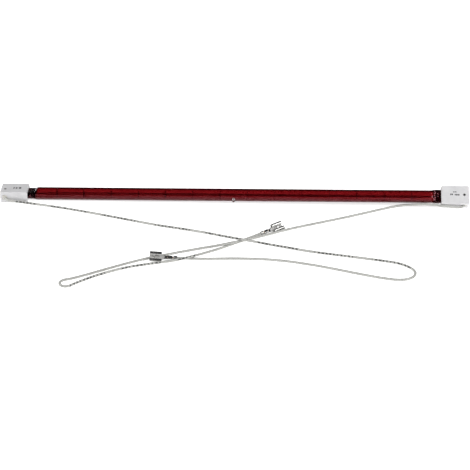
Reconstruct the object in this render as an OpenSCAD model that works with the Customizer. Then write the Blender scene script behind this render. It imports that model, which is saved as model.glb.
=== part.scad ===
// Double-ended infrared heating lamp: a ruby quartz tube with a coil along its axis, flattened ends in
// ceramic caps, and an insulated lead with a push-on terminal at each end. It lies on a flat surface.
// X runs along the lamp, Z is up. Millimetres.

/* [Quartz tube] */
// Length over the two ceramic caps
overall_length = 375; // [340:1:420]
// Outer diameter of the tube
tube_d = 10.2; // [9.4:0.1:11]
// Wall of the tube
tube_wall = 1; // [0.8:0.05:1.3]
// Length over which the round tube turns into its flattened end
shoulder_length = 4.5; // [3.5:0.5:7]
// Flattened end that shows between the shoulder and the cap
seal_reveal = 4; // [3:0.5:8]
// Distance from the outer end of a cap to the end of the quartz
seal_inset = 12; // [11:0.5:14]
// Thickness of the flattened end
seal_thickness = 4.4; // [3.8:0.1:5]
// Depth of the pressed panel in each face of the flattened end
panel_depth = 0.5; // [0.2:0.1:0.8]
// How far the sealed-off exhaust tip stands out
tip_length = 2.3; // [1.6:0.1:3.5]
// Width of the exhaust tip at its root
tip_d = 3.6; // [2.8:0.1:4.4]
// Angle of the exhaust tip below the horizontal
tip_drop = 22; // [0:1:60]

/* [Filament] */
// Outer diameter of the coil
coil_d = 2.4; // [2:0.1:3]
// Thickness of the coil's wire
coil_wire = 0.5; // [0.3:0.05:0.7]
// Distance from one turn to the next
coil_pitch = 3.6; // [2.5:0.1:6]
// Plain rod between the shoulder and the end of the coil
coil_setback = 6; // [4:1:20]
// Distance from the end of the coil to the middle of the first support
support_inset = 8.65; // [4:0.05:15]
// Thickness of a support's wire
support_wire = 0.4; // [0.3:0.05:0.6]
// Turns of a support's spiral
support_turns = 1.75; // [1.25:0.25:2.5]

/* [Seals] */
// Diameter of the rods and pins
rod_d = 0.9; // [0.6:0.1:1.2]
// Glass between the hollow of the tube and the foil
foil_margin = 2.6; // [2:0.1:3.5]
// Glass between the foil and the end of the quartz
foil_cover = 3.4; // [2.6:0.1:4]
// Width of the foil
foil_width = 3; // [2:0.5:4]
// Thickness of the foil
foil_thickness = 0.1; // [0.06:0.02:0.2]
// Length of rod or pin that is welded on the foil
weld_length = 1.6; // [1:0.2:2]

/* [Ceramic caps] */
// Length of a cap along the lamp
cap_length = 22; // [21:0.5:30]
// Width of a cap
cap_width = 15.3; // [14.5:0.1:20]
// Thickness of a cap
cap_thickness = 9.6; // [9.2:0.1:12]
// Rounding of the long edges
cap_edge_r = 0.6; // [0.4:0.1:1.6]
// Slope of the edges round both ends
cap_bevel = 0.6; // [0.3:0.1:1]
// Layer of cement round the flattened end
cement_layer = 0.6; // [0.4:0.1:0.8]
// Depth of the cement below the mouth of the cap
cement_recess = 0.5; // [0.2:0.1:1]
// Twist of the right cap against the left one
twist = 40.5; // [0:0.5:60]
// Diameter of the chamber inside a cap
chamber_d = 6; // [5.4:0.1:6.6]
// Wall between the chamber and the outer end
end_wall = 1.7; // [1.2:0.1:2.5]
// Diameter of the lead's hole
port_d = 4.2; // [3.8:0.1:4.6]
// Distance of both small holes from the outer end
port_inset = 3.8; // [3.6:0.1:4.4]
// Diameter of the vent hole in the wide face
vent_d = 1.8; // [1.2:0.1:2.2]
// Place of the left vent hole across its face
vent_side_left = -1.8; // [-2.6:0.1:2.6]
// Place of the right vent hole across its face
vent_side_right = 0; // [-2.6:0.1:2.6]
// Length of the crimped sleeve
ferrule_length = 5; // [3.5:0.5:5.5]
// Outer diameter of the crimped sleeve
ferrule_d = 2.6; // [2.2:0.1:3]
// Radius of the bare conductor's bend in the cap
conductor_bend = 2; // [1.2:0.1:2.2]

/* [Leads] */
// Diameter over the insulation
lead_d = 2; // [1.6:0.1:2.4]
// Diameter of the bare conductor
conductor_d = 1.1; // [0.8:0.1:1.3]
// How far outwards of the middle of its hole a lead lies
lead_offset = 0.8; // [0:0.1:0.9]

/* [Terminals] */
// Width of the tab that the terminal takes
tab_width = 6.3; // [4.8:0.1:7]
// Thickness of the tab that the terminal takes
tab_thickness = 0.8; // [0.5:0.1:1]
// Play at each side of the tab
tab_play = 0.25; // [0.1:0.05:0.4]
// Thickness of the sheet metal
sheet = 0.4; // [0.3:0.05:0.45]
// Length of the curled receptacle
receptacle_length = 9; // [6:0.1:10]
// Outer radius of each curl
curl_r = 1.45; // [1.3:0.05:1.6]
// Length of the neck between receptacle and conductor crimp
neck_length = 4.6; // [3:0.1:7]
// Length of the conductor crimp
wire_crimp_length = 3.4; // [2.5:0.1:4.5]
// Length of the insulation crimp
grip_length = 2.6; // [1.8:0.1:3.5]
// Gap between the two crimps
crimp_gap = 1; // [0.6:0.1:1.6]
// Diameter of the detent hole in the receptacle
detent_d = 1.6; // [1:0.1:2]
// Roll of the left terminal about its own axis
roll_left = -55; // [-70:1:0]
// Roll of the right terminal about its own axis
roll_right = 28; // [0:1:70]

/* [Hidden] */
// Number of spiral supports
support_count = 14;
function support_name(i) = str("support_", i < 10 ? "0" : "", i);

// Running clearance between parts that are pushed or cast together
fit = 0.02;
// Overshoot of a cutting shape past the face it opens
over = 1;

// Stations along the lamp, measured from its middle
cap_out = overall_length / 2;
cap_in = cap_out - cap_length;
shoulder_end = cap_in - seal_reveal;
shoulder_start = shoulder_end - shoulder_length;
seal_end = cap_out - seal_inset;
port_x = cap_out - port_inset;
exit_x = port_x + lead_offset;
chamber_end = cap_out - end_wall;
coil_half = shoulder_start - coil_setback;
support_spacing = 2 * (coil_half - support_inset) / (support_count - 1);

// The rods lie on the foil, which is a little off the axis
foil_level = -rod_d / 2 - foil_thickness / 2 - fit;
foil_start = shoulder_end + foil_margin;
foil_end = seal_end - foil_cover;
foil_length = foil_end - foil_start;
rod_r = rod_d / 2;
ferrule_start = seal_end + 1.2;
ferrule_end = ferrule_start + ferrule_length;
pin_end = ferrule_start + ferrule_length * 0.45;

// Sections
tube_r = tube_d / 2;
bore_r = tube_r - tube_wall;
seal_half = seal_thickness / 2;
wedge_half = 0.6;
pocket_width = tube_d + 2 * cement_layer;
pocket_height = seal_thickness + 2 * cement_layer;
pocket_r = 0.8;

// The lamp rests on the right cap's lowest edge and, at the left, on the cap or the tube
cap_drop_left = cap_thickness / 2;
cap_drop_right = (cap_width / 2 - cap_edge_r) * sin(twist) + (cap_thickness / 2 - cap_edge_r) * cos(twist)
    + cap_edge_r;
drop_right = max(cap_drop_right, tube_r);
rest_left = cap_out - cap_bevel;
rest_right = cap_in + cap_bevel;
tilt = min(atan2(drop_right - cap_drop_left, rest_left + rest_right),
           atan2(drop_right - tube_r, shoulder_start + rest_right));
mid_height = drop_right * cos(tilt) - rest_right * sin(tilt);

// Terminal levels, measured from the axis of its conductor
lead_r = lead_d / 2;
conductor_r = conductor_d / 2;
web_top = -conductor_r - fit;
web_bottom = web_top - sheet;
grip_r = lead_r + fit + sheet;
receptacle_width = tab_width + 2 * tab_play + 2 * sheet;
// Each curl ends just above the tab, this far below the middle of its round
curl_dip = curl_r - sheet - tab_thickness - 2 * fit;
wire_crimp_start = crimp_gap;
wire_crimp_end = wire_crimp_start + wire_crimp_length;
receptacle_start = wire_crimp_end + neck_length;
neck_width = 2.6;

// A route as it lies between the holes of the two caps: its first point keeps its place in the hole
function laid(points) = [for (p = points) [p[0] * exit_x / abs(points[0][0]), p[1], p[2]]];

// Route of the left cap's lead, from its cap round the right loop to the left terminal
route_left = laid([
    [-184.5, -2.9, 4.8], [-184.4, -5, 4.7], [-183.8, -6.8, 4.3], [-182.5, -8.2, 3.7], [-180.4, -9, 3.1],
    [-175.5, -9.3, 2.4], [-168, -9.6, 1.7], [-144.6, -14, 1], [-118.7, -21.3, 1], [-60, -40.6, 1],
    [-45, -45.2, 1.4], [-32, -50, 2.2], [-20, -55.3, 3.2], [-8, -61.2, 4.3], [6, -66.7, 4.9],
    [20, -70.1, 4.3], [32, -72.2, 3.2], [44, -74, 2.2], [56, -76.4, 1.4], [70, -79.3, 1], [117.6, -89.5, 1],
    [126, -92, 1], [131.7, -95.3, 1], [136.2, -99.7, 1], [138.2, -104.9, 1], [136.8, -110.5, 1],
    [131.9, -114.4, 1], [125.3, -115.6, 1], [111.3, -112.9, 1], [61.5, -96.6, 1], [34.6, -90.8, 1],
    [7.6, -89.6, 1], [-19.4, -91, 1], [-31.4, -90.9, 1.1], [-36.9, -91.2, 1.45], [-41.7, -91.7, 2]]);

// Route of the right cap's lead, from its cap round the left fold to the right terminal
route_right = laid([
    [184.5, -2.2, 6.65], [184.5, -3.5, 5.5], [184, -4.9, 4.35], [182.8, -6.1, 3.5], [181, -7, 3],
    [178.6, -7.6, 3.1], [174, -8, 3.7], [168, -8.4, 4.3], [162, -7.4, 4.5], [154, -5, 3.9], [146, -4, 3],
    [137, -3.2, 1.9], [128, -4.9, 1.2], [119.5, -8.5, 1], [90.3, -22.8, 1], [43.1, -44.6, 1], [24, -56, 1.5],
    [15, -61.8, 2.1], [6.3, -66.9, 2.7], [-2.5, -71.4, 3.1], [-11.2, -74.5, 2.8], [-20.3, -76.7, 2.1],
    [-30.3, -79.4, 1.4], [-42.4, -83.7, 1], [-68.5, -95.4, 1], [-108.3, -119.2, 1], [-114.8, -122.7, 1],
    [-120.2, -125, 1], [-122.2, -127.9, 1], [-121.7, -131.4, 1], [-118.8, -133.5, 1], [-115.3, -132.9, 1],
    [-110.3, -128.4, 1], [-97.7, -118.3, 1], [-76.6, -105.9, 1], [-58.5, -99.5, 1], [-46.5, -96.3, 1.3],
    [-40.5, -95, 1.8], [-34.5, -93.9, 2.7], [-28.4, -91.3, 3.1], [-15.7, -82.2, 2], [-8.3, -76.1, 1.2],
    [-2.5, -71.4, 1], [20.3, -54.2, 1.45], [24.8, -50.9, 1.7]]);

// General shapes

// A step from 0 to 1 with level ends
function eased(s) = (1 - cos(180 * s)) / 2;
function unit(v) = v / norm(v);
function tangent(p, i) = unit(p[min(i + 1, len(p) - 1)] - p[max(i - 1, 0)]);

// Ring of points round one point of a path, square to the path there
function ring(p, i, r, sides, pole) =
    let (t = tangent(p, i), s = unit(cross(pole, t)), u = cross(t, s))
    [for (k = [0:sides - 1]) p[i] + r * (cos(360 * k / sides) * s + sin(360 * k / sides) * u)];

// Closed tube of a given radius along a path, whose direction never meets the pole
module swept(path, r, sides, pole = [0, 0, 1]) {
    rings = len(path);
    points = [for (i = [0:rings - 1]) each ring(path, i, r, sides, pole)];
    walls = [for (i = [0:rings - 2], k = [0:sides - 1])
        let (a = i * sides + k, b = i * sides + (k + 1) % sides)
        each [[a, a + sides, b + sides], [a, b + sides, b]]];
    first = [for (k = [0:sides - 1]) k];
    last = [for (k = [sides - 1:-1:0]) (rings - 1) * sides + k];
    polyhedron(points, concat([first], walls, [last]), convexity = 10);
}

// Rod along X from a to b
module rod(a, b, r, facets = 48) {
    translate([a, 0, 0]) rotate([0, 90, 0]) cylinder(r = r, h = b - a, $fn = facets);
}

// Rectangle with rounded corners, centred
module rounded(w, h, r) {
    square([w - 2 * r, h], center = true);
    square([w, h - 2 * r], center = true);
    for (x = [-1, 1], y = [-1, 1])
        translate([x * (w / 2 - r), y * (h / 2 - r)]) circle(r, $fn = 48);
}

// Bar along X from a to b whose section is the child, drawn with its width across Y
module bar(a, b) {
    translate([a, 0, 0]) rotate([90, 0, 90]) linear_extrude(b - a) children();
}

// Puts the lamp, drawn along its own axis, at rest on the surface
module at_rest() {
    translate([0, 0, mid_height]) rotate([0, -tilt, 0]) children();
}

// One end of the lamp, drawn at the right: side 1 is right, side -1 is left
module at_end(side) {
    at_rest() to_end(side) children();
}

// The same on the lamp's own axis
module to_end(side) {
    mirror([side < 0 ? 1 : 0, 0, 0]) rotate([side > 0 ? twist : 0, 0, 0]) children();
}

// A terminal's place: X along its axis from the end of its lead
module at_lead_end(route, roll) {
    last = route[len(route) - 1];
    way = last - route[len(route) - 2];
    translate(last)
        rotate([0, -atan2(way[2], norm([way[0], way[1]])), atan2(way[1], way[0])])
            rotate([roll, 0, 0]) children();
}

// Quartz envelope

// Half height of the tube's outside at a share s of the shoulder
function outer_half(s) = tube_r + (seal_half - tube_r) * eased(s);
// Half height of the hollow inside the shoulder, which ends in a narrow wedge
function inner_half(s) = bore_r + (wedge_half - bore_r) * eased(s);
shoulder_steps = 8;

// Outline of the press jaw that flattens one face, in the plane of X and Z
module jaw_outline(outer) {
    reach = tube_r + over;
    polygon(concat(
        [for (k = [0:shoulder_steps]) let (s = k / shoulder_steps)
            [shoulder_start + shoulder_length * s, outer ? outer_half(s) : inner_half(s)]],
        [[seal_end + over, outer ? seal_half : wedge_half], [seal_end + over, reach], [shoulder_start, reach]]));
}

// Both jaws at one end of the tube
module jaws(outer) {
    for (side = [0, 1]) mirror([0, 0, side])
        translate([0, tube_r + over, 0]) rotate([90, 0, 0]) linear_extrude(2 * (tube_r + over))
            jaw_outline(outer);
}

// Pressed panels with round ends in both faces of a flattened end
module panels() {
    panel_half = tube_r * 0.55;
    panel_length = seal_end - shoulder_end - panel_half;
    for (side = [0, 1]) mirror([0, 0, side])
        translate([0, 0, seal_half - panel_depth]) linear_extrude(panel_depth + over)
            translate([shoulder_end + panel_half * 0.35, 0]) intersection() {
                translate([panel_half, 0]) union() {
                    circle(panel_half, $fn = 64);
                    translate([0, -panel_half]) square([panel_length, 2 * panel_half]);
                }
                translate([0, -panel_half]) square([panel_length, 2 * panel_half]);
            }
}

// Room in the glass for the rods and the foil
module seal_channels() {
    rod(shoulder_end - over, foil_start + weld_length + fit, rod_r + fit);
    rod(foil_end - weld_length - fit, seal_end + over, rod_r + fit);
    translate([foil_start - fit, -foil_width / 2 - fit, foil_level - foil_thickness / 2 - fit])
        cube([foil_length + 2 * fit, foil_width + 2 * fit, foil_thickness + 2 * fit]);
}

// Pulled-off exhaust tip with its tapered hollow
module tip_outside() {
    end_r = tip_d * 0.2;
    rotate([90 + tip_drop, 0, 0]) rotate_extrude($fn = 48) polygon(concat(
        [[0, 0], [tip_d / 2 + 0.5, 0], [tip_d / 2 + 0.5, tube_r - 0.9], [tip_d / 2, tube_r]],
        [for (a = [0:15:90]) [end_r * cos(a), tube_r + tip_length - end_r + end_r * sin(a)]]));
}

module quartz_envelope() {
    color([0.45, 0.02, 0.05, 0.85]) at_rest() difference() {
        union() {
            difference() {
                rod(-seal_end, seal_end, tube_r, 96);
                for (side = [-1, 1]) to_end(side) jaws(true);
            }
            tip_outside();
        }
        difference() {
            rod(-shoulder_end, shoulder_end, bore_r, 96);
            for (side = [-1, 1]) to_end(side) jaws(false);
        }
        rotate([90 + tip_drop, 0, 0]) cylinder(r1 = bore_r, r2 = 0.2, h = tube_r + tip_length * 0.55, $fn = 48);
        for (side = [-1, 1]) to_end(side) {
            seal_channels();
            panels();
        }
    }
}

// Coil and its supports

module coil_filament() {
    wire_r = coil_wire / 2;
    helix_r = coil_d / 2 - wire_r;
    per_turn = 7;
    steps = round(2 * coil_half / coil_pitch * per_turn);
    path = [for (i = [0:steps]) let (a = 360 * i / per_turn)
        [-coil_half + 2 * coil_half * i / steps, helix_r * cos(a), helix_r * sin(a)]];
    color("dimgray") at_rest() swept(path, wire_r, 4, [1, 0, 0]);
}

// Flat spiral from the outside of the coil to the bore
module support(i) {
    wire_r = support_wire / 2;
    inner = coil_d / 2 + wire_r + 0.1;
    outer = bore_r - wire_r - 0.05;
    steps = round(support_turns * 14);
    path = [for (k = [0:steps]) let (s = k / steps, a = 360 * support_turns * s + 40 * i)
        [0, (inner + (outer - inner) * s) * cos(a), (inner + (outer - inner) * s) * sin(a)]];
    color("gray") at_rest() translate([(i - (support_count + 1) / 2) * support_spacing, 0, 0])
        swept(path, wire_r, 4, [1, 0, 0]);
}

// Seals

module inner_lead(side) {
    color("darkgray") at_end(side) rod(coil_half + fit, foil_start + weld_length, rod_r);
}

module seal_foil(side) {
    color("silver") at_end(side) translate([foil_start, -foil_width / 2, foil_level - foil_thickness / 2])
        cube([foil_length, foil_width, foil_thickness]);
}

module outer_pin(side) {
    color("silver") at_end(side) rod(foil_end - weld_length, pin_end, rod_r);
}

// Parts inside a cap

// Crimped sleeve with a dent in each flat
module ferrule(side) {
    dent_r = ferrule_d * 0.5;
    color("lightgray") at_end(side) difference() {
        rod(ferrule_start, ferrule_end, ferrule_d / 2);
        rod(ferrule_start - over, pin_end + fit, rod_r + fit);
        rod(pin_end, ferrule_end + over, conductor_r + fit);
        for (x = [0.25, 0.75], y = [-1, 1])
            translate([ferrule_start + ferrule_length * x, y * (ferrule_d / 2 + dent_r - 0.25), -ferrule_d])
                cylinder(r = dent_r, h = 2 * ferrule_d, $fn = 32);
    }
}

// Bare end of the lead in the cap, bent from the sleeve towards the lead's hole
module cap_conductor(side) {
    lead_y = abs(route_left[0][1]) - 2 * fit;
    bend_x = exit_x - conductor_bend;
    color("peru") at_end(side) union() {
        rod(pin_end + 2 * fit, bend_x, conductor_r, 32);
        translate([bend_x, -conductor_bend, 0]) rotate_extrude(angle = 90, $fn = 48)
            translate([conductor_bend, 0]) circle(conductor_r, $fn = 32);
        translate([exit_x, -conductor_bend, 0]) rotate([90, 0, 0])
            cylinder(r = conductor_r, h = lead_y - conductor_bend, $fn = 32);
    }
}

module cement(side) {
    color("linen") at_end(side) difference() {
        bar(cap_in + cement_recess, seal_end) rounded(pocket_width - 2 * fit, pocket_height - 2 * fit, pocket_r);
        intersection() {
            rod(cap_in - over, seal_end + over, tube_r + fit, 96);
            bar(cap_in - over, seal_end + over) square([2 * tube_d, seal_thickness + 2 * fit], center = true);
        }
    }
}

module ceramic_cap(side) {
    vent_side = side > 0 ? vent_side_right : vent_side_left;
    color("whitesmoke") at_end(side) difference() {
        bar(cap_in, cap_out) rounded(cap_width, cap_thickness, cap_edge_r);
        cap_bevels();
        bar(cap_in - over, seal_end) rounded(pocket_width, pocket_height, pocket_r);
        rod(seal_end - over, chamber_end, chamber_d / 2, 64);
        translate([port_x, 0, 0]) rotate([90, 0, 0]) cylinder(d = port_d, h = cap_width, $fn = 48);
        translate([port_x, -cap_width / 2 + 0.4, 0]) rotate([90, 0, 0])
            cylinder(d1 = port_d, d2 = port_d + 1.6, h = 0.8, $fn = 48);
        translate([port_x, vent_side, 0]) cylinder(d = vent_d, h = cap_thickness, $fn = 32);
    }
}

// Sloped cuts along the four edges of each end
module cap_bevels() {
    far = cap_width;
    for (end = [0, 1]) translate([end * (cap_in + cap_out), 0, 0]) mirror([end, 0, 0]) translate([cap_in, 0, 0])
        for (quarter = [0:3]) rotate([90 * quarter, 0, 0])
            translate([0, 0, (quarter % 2 == 0 ? cap_thickness : cap_width) / 2])
                rotate([90, 0, 0]) linear_extrude(2 * far, center = true)
                    polygon([[-over, over], [-over, -cap_bevel - over], [0, -cap_bevel], [cap_bevel, 0],
                             [cap_bevel + over, over]]);
}

// Leads and terminals

module lead(route) {
    color("gainsboro") swept(route, lead_r, 8);
}

// Bare end of the lead in the conductor crimp
module crimp_conductor(route, roll) {
    color("peru") at_lead_end(route, roll) rod(fit, wire_crimp_end + 0.5, conductor_r, 32);
}

// One curl of the receptacle, at the +Y edge of the web
module curl() {
    rotate([90, 0, 90]) linear_extrude(receptacle_length) difference() {
        circle(curl_r, $fn = 64);
        circle(curl_r - sheet, $fn = 64);
        polygon([[0, -curl_dip], [-2 * curl_r, -curl_dip], [-2 * curl_r, -2 * curl_r], [0, -2 * curl_r]]);
    }
}

// Receptacle: flat web with a detent hole, and a curl along each side
module receptacle() {
    reach = receptacle_width / 2 - curl_r;
    difference() {
        translate([0, -reach, web_bottom]) cube([receptacle_length, 2 * reach, sheet]);
        translate([receptacle_length * 0.6, 0, web_bottom - over]) cylinder(d = detent_d, h = 3 * over, $fn = 32);
    }
    for (side = [0, 1]) mirror([0, side, 0]) translate([0, reach, web_bottom + curl_r]) curl();
}

// Barrel with two rolled wings that bite into the conductor
module wire_crimp() {
    wing_r = conductor_r * 0.62 + sheet / 2;
    bar(wire_crimp_start, wire_crimp_end) difference() {
        union() {
            translate([-neck_width / 2, web_bottom]) square([neck_width, sheet + conductor_r]);
            for (y = [-1, 1]) translate([y * (neck_width / 2 - wing_r), conductor_r * 0.45]) circle(wing_r, $fn = 48);
            translate([-neck_width / 2 + wing_r, 0]) square([neck_width - 2 * wing_r, conductor_r + sheet * 0.6]);
        }
        circle(conductor_r + fit, $fn = 32);
    }
}

// Open ring that grips the insulation
module grip() {
    bar(-grip_length, -0.2) difference() {
        circle(grip_r, $fn = 48);
        circle(lead_r + fit, $fn = 48);
        polygon([[0, 0], [-0.5, 2 * grip_r], [0.5, 2 * grip_r]]);
    }
}

// One folded sheet: insulation grip, conductor crimp, neck and receptacle
module terminal(route, roll) {
    web_half = receptacle_width / 2 - curl_r;
    color("silver") at_lead_end(route, roll) union() {
        grip();
        wire_crimp();
        translate([0, 0, web_bottom]) linear_extrude(sheet) polygon([
            [wire_crimp_end - 0.2, -neck_width / 2], [wire_crimp_end + neck_length * 0.45, -neck_width / 2],
            [receptacle_start, -web_half], [receptacle_start + 0.2, -web_half],
            [receptacle_start + 0.2, web_half], [receptacle_start, web_half],
            [wire_crimp_end + neck_length * 0.45, neck_width / 2], [wire_crimp_end - 0.2, neck_width / 2]]);
        crimp_bridge();
        translate([receptacle_start, 0, 0]) receptacle();
    }
}

// Sloped strip that joins the insulation grip to the conductor crimp
module crimp_bridge() {
    half = neck_width * 0.35;
    low = -grip_r;
    translate([0, half, 0]) rotate([90, 0, 0]) linear_extrude(2 * half) polygon([
        [-0.6, low], [-0.2, low], [wire_crimp_start + 0.2, web_bottom], [wire_crimp_start + 0.2, web_top],
        [wire_crimp_start - 0.1, web_top], [-0.3, low + sheet], [-0.6, low + sheet]]);
}

quartz_envelope();
coil_filament();
for (i = [1:support_count]) support(i);
inner_lead(-1);  // inner_lead_left
inner_lead(1);  // inner_lead_right
seal_foil(-1);  // seal_foil_left
seal_foil(1);  // seal_foil_right
outer_pin(-1);  // outer_pin_left
outer_pin(1);  // outer_pin_right
ferrule(-1);  // ferrule_left
ferrule(1);  // ferrule_right
cap_conductor(-1);  // cap_conductor_left
cap_conductor(1);  // cap_conductor_right
cement(-1);  // cement_left
cement(1);  // cement_right
ceramic_cap(-1);  // ceramic_cap_left
ceramic_cap(1);  // ceramic_cap_right
lead(route_left);  // lead_left
lead(route_right);  // lead_right
crimp_conductor(route_left, roll_left);  // crimp_conductor_left
crimp_conductor(route_right, roll_right);  // crimp_conductor_right
terminal(route_left, roll_left);  // terminal_left
terminal(route_right, roll_right);  // terminal_right
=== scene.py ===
"""Looks of a double-ended ruby quartz heating lamp with ceramic caps and insulated leads.

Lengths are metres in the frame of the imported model: X runs along the lamp and Z is up.
"""

from __future__ import annotations

import logging
import math
from dataclasses import dataclass
from enum import Enum
from typing import Any, Sequence

import bmesh
import bpy
import numpy as np
from mathutils import Matrix, Vector

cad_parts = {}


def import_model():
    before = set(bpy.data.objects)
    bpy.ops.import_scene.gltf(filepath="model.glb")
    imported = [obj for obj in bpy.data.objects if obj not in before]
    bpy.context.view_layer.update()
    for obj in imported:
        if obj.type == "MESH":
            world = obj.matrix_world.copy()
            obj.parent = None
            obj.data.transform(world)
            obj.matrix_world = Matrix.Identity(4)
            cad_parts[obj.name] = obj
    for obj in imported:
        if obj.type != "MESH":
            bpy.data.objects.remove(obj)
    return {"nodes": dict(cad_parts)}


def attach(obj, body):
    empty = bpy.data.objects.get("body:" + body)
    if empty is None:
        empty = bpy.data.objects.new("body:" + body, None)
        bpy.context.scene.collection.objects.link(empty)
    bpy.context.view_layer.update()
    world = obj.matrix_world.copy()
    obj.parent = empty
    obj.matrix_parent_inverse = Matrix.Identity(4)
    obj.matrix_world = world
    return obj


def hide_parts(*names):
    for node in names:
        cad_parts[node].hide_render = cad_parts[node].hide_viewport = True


log = logging.getLogger("heating_lamp")

MM = 0.001
BODY = "root"

Point = tuple[float, float, float]
Colour = tuple[float, float, float]
Tones = tuple[Colour, Colour]
Material = bpy.types.Material
Mesh = bpy.types.Mesh
Piece = bpy.types.Object
Socket = bpy.types.NodeSocket
Outputs = bpy.types.NodeOutputs
Array = np.ndarray
Tree = bpy.types.NodeTree


class Side(Enum):
    """The two ends of the lamp."""

    LEFT = -1
    RIGHT = 1

    @property
    def label(self) -> str:
        """Name of the end as the nodes have it."""
        return self.name.lower()


@dataclass(frozen=True)
class LampSizes:
    """Driving sizes of the lamp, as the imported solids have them."""

    overall: float = 375 * MM
    tube_r: float = 5.1 * MM
    wall: float = 1.0 * MM
    shoulder: float = 4.5 * MM
    seal_reveal: float = 4.0 * MM
    seal_depth: float = 10.0 * MM
    seal_half: float = 2.2 * MM
    wedge_half: float = 0.6 * MM
    panel_depth: float = 0.5 * MM
    tip_length: float = 2.3 * MM
    tip_r: float = 1.8 * MM
    tip_drop: float = math.radians(22)
    cap_length: float = 22 * MM
    cap_width: float = 15.3 * MM
    cap_thickness: float = 9.6 * MM
    cap_edge_r: float = 0.6 * MM
    cap_bevel: float = 0.6 * MM
    port_inset: float = 3.8 * MM
    vent_side_left: float = -1.8 * MM
    vent_side_right: float = 0.0
    twist: float = math.radians(40.5)
    coil_r: float = 1.2 * MM
    coil_setback: float = 6 * MM
    support_spacing: float = 21.9 * MM
    support_count: int = 14
    lead_r: float = 1.0 * MM

    @property
    def cap_out(self) -> float:
        """Outer end of a cap from the middle of the lamp."""
        return self.overall / 2

    @property
    def cap_in(self) -> float:
        """Inner end of a cap from the middle of the lamp."""
        return self.cap_out - self.cap_length

    @property
    def shoulder_end(self) -> float:
        """Where the flattened end begins."""
        return self.cap_in - self.seal_reveal

    @property
    def shoulder_start(self) -> float:
        """Where the round tube ends."""
        return self.shoulder_end - self.shoulder

    @property
    def seal_end(self) -> float:
        """Outer end of the quartz."""
        return self.cap_in + self.seal_depth

    @property
    def bore_r(self) -> float:
        """Radius of the tube's bore."""
        return self.tube_r - self.wall

    @property
    def coil_half(self) -> float:
        """Half the length of the coil."""
        return self.shoulder_start - self.coil_setback

    def at_rest(self) -> Matrix:
        """Place of the lamp's own frame: it lies on the right cap's lowest edge and on the tube's left end.

        Returns:
            The matrix from the lamp's own frame to the row frame.
        """
        across = self.cap_width / 2 - self.cap_edge_r
        through = self.cap_thickness / 2 - self.cap_edge_r
        drop = across * math.sin(self.twist) + through * math.cos(self.twist) + self.cap_edge_r
        rest = self.cap_in + self.cap_bevel
        tilt = math.atan2(drop - self.tube_r, self.shoulder_start + rest)
        height = drop * math.cos(tilt) - rest * math.sin(tilt)
        return Matrix.Translation((0, 0, height)) @ Matrix.Rotation(-tilt, 4, "Y")

    def at_end(self, side: Side) -> Matrix:
        """Matrix from one end's own frame, which is drawn as the right end, to the row frame."""
        if side is Side.RIGHT:
            return self.at_rest() @ Matrix.Rotation(self.twist, 4, "X")
        return self.at_rest() @ Matrix.Scale(-1, 4, (1, 0, 0))


SIZES = LampSizes()

# Mouth of each terminal's slot and the direction out of it
SLOTS = {
    Side.LEFT: ((-0.05949, -0.09355, 0.00404), (-0.9882, -0.1029, 0.1132)),
    Side.RIGHT: ((0.0393, -0.04027, 0.00251), (0.8056, 0.5908, 0.0448)),
}
SLOT_LENGTH = 9 * MM

LEAD_LENGTHS = {Side.LEFT: 0.536, Side.RIGHT: 0.518}

# Round points of each lead's route, in millimetres, as the solids have them
LEFT_ROUTE = [
    (-184.5, -2.9, 4.8), (-184.4, -5, 4.7), (-183.8, -6.8, 4.3), (-182.5, -8.2, 3.7), (-180.4, -9, 3.1),
    (-175.5, -9.3, 2.4), (-168, -9.6, 1.7), (-144.6, -14, 1), (-118.7, -21.3, 1), (-60, -40.6, 1),
    (-45, -45.2, 1.4), (-32, -50, 2.2), (-20, -55.3, 3.2), (-8, -61.2, 4.3), (6, -66.7, 4.9),
    (20, -70.1, 4.3), (32, -72.2, 3.2), (44, -74, 2.2), (56, -76.4, 1.4), (70, -79.3, 1), (117.6, -89.5, 1),
    (126, -92, 1), (131.7, -95.3, 1), (136.2, -99.7, 1), (138.2, -104.9, 1), (136.8, -110.5, 1),
    (131.9, -114.4, 1), (125.3, -115.6, 1), (111.3, -112.9, 1), (61.5, -96.6, 1), (34.6, -90.8, 1),
    (7.6, -89.6, 1), (-19.4, -91, 1), (-31.4, -90.9, 1.1), (-36.9, -91.2, 1.45), (-41.7, -91.7, 2),
]
RIGHT_ROUTE = [
    (184.5, -2.2, 6.65), (184.5, -3.5, 5.5), (184, -4.9, 4.35), (182.8, -6.1, 3.5), (181, -7, 3),
    (178.6, -7.6, 3.1), (174, -8, 3.7), (168, -8.4, 4.3), (162, -7.4, 4.5), (154, -5, 3.9), (146, -4, 3),
    (137, -3.2, 1.9), (128, -4.9, 1.2), (119.5, -8.5, 1), (90.3, -22.8, 1), (43.1, -44.6, 1), (24, -56, 1.5),
    (15, -61.8, 2.1), (6.3, -66.9, 2.7), (-2.5, -71.4, 3.1), (-11.2, -74.5, 2.8), (-20.3, -76.7, 2.1),
    (-30.3, -79.4, 1.4), (-42.4, -83.7, 1), (-68.5, -95.4, 1), (-108.3, -119.2, 1), (-114.8, -122.7, 1),
    (-120.2, -125, 1), (-122.2, -127.9, 1), (-121.7, -131.4, 1), (-118.8, -133.5, 1), (-115.3, -132.9, 1),
    (-110.3, -128.4, 1), (-97.7, -118.3, 1), (-76.6, -105.9, 1), (-58.5, -99.5, 1), (-46.5, -96.3, 1.3),
    (-40.5, -95, 1.8), (-34.5, -93.9, 2.7), (-28.4, -91.3, 3.1), (-15.7, -82.2, 2), (-8.3, -76.1, 1.2),
    (-2.5, -71.4, 1), (20.3, -54.2, 1.45), (24.8, -50.9, 1.7),
]


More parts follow.
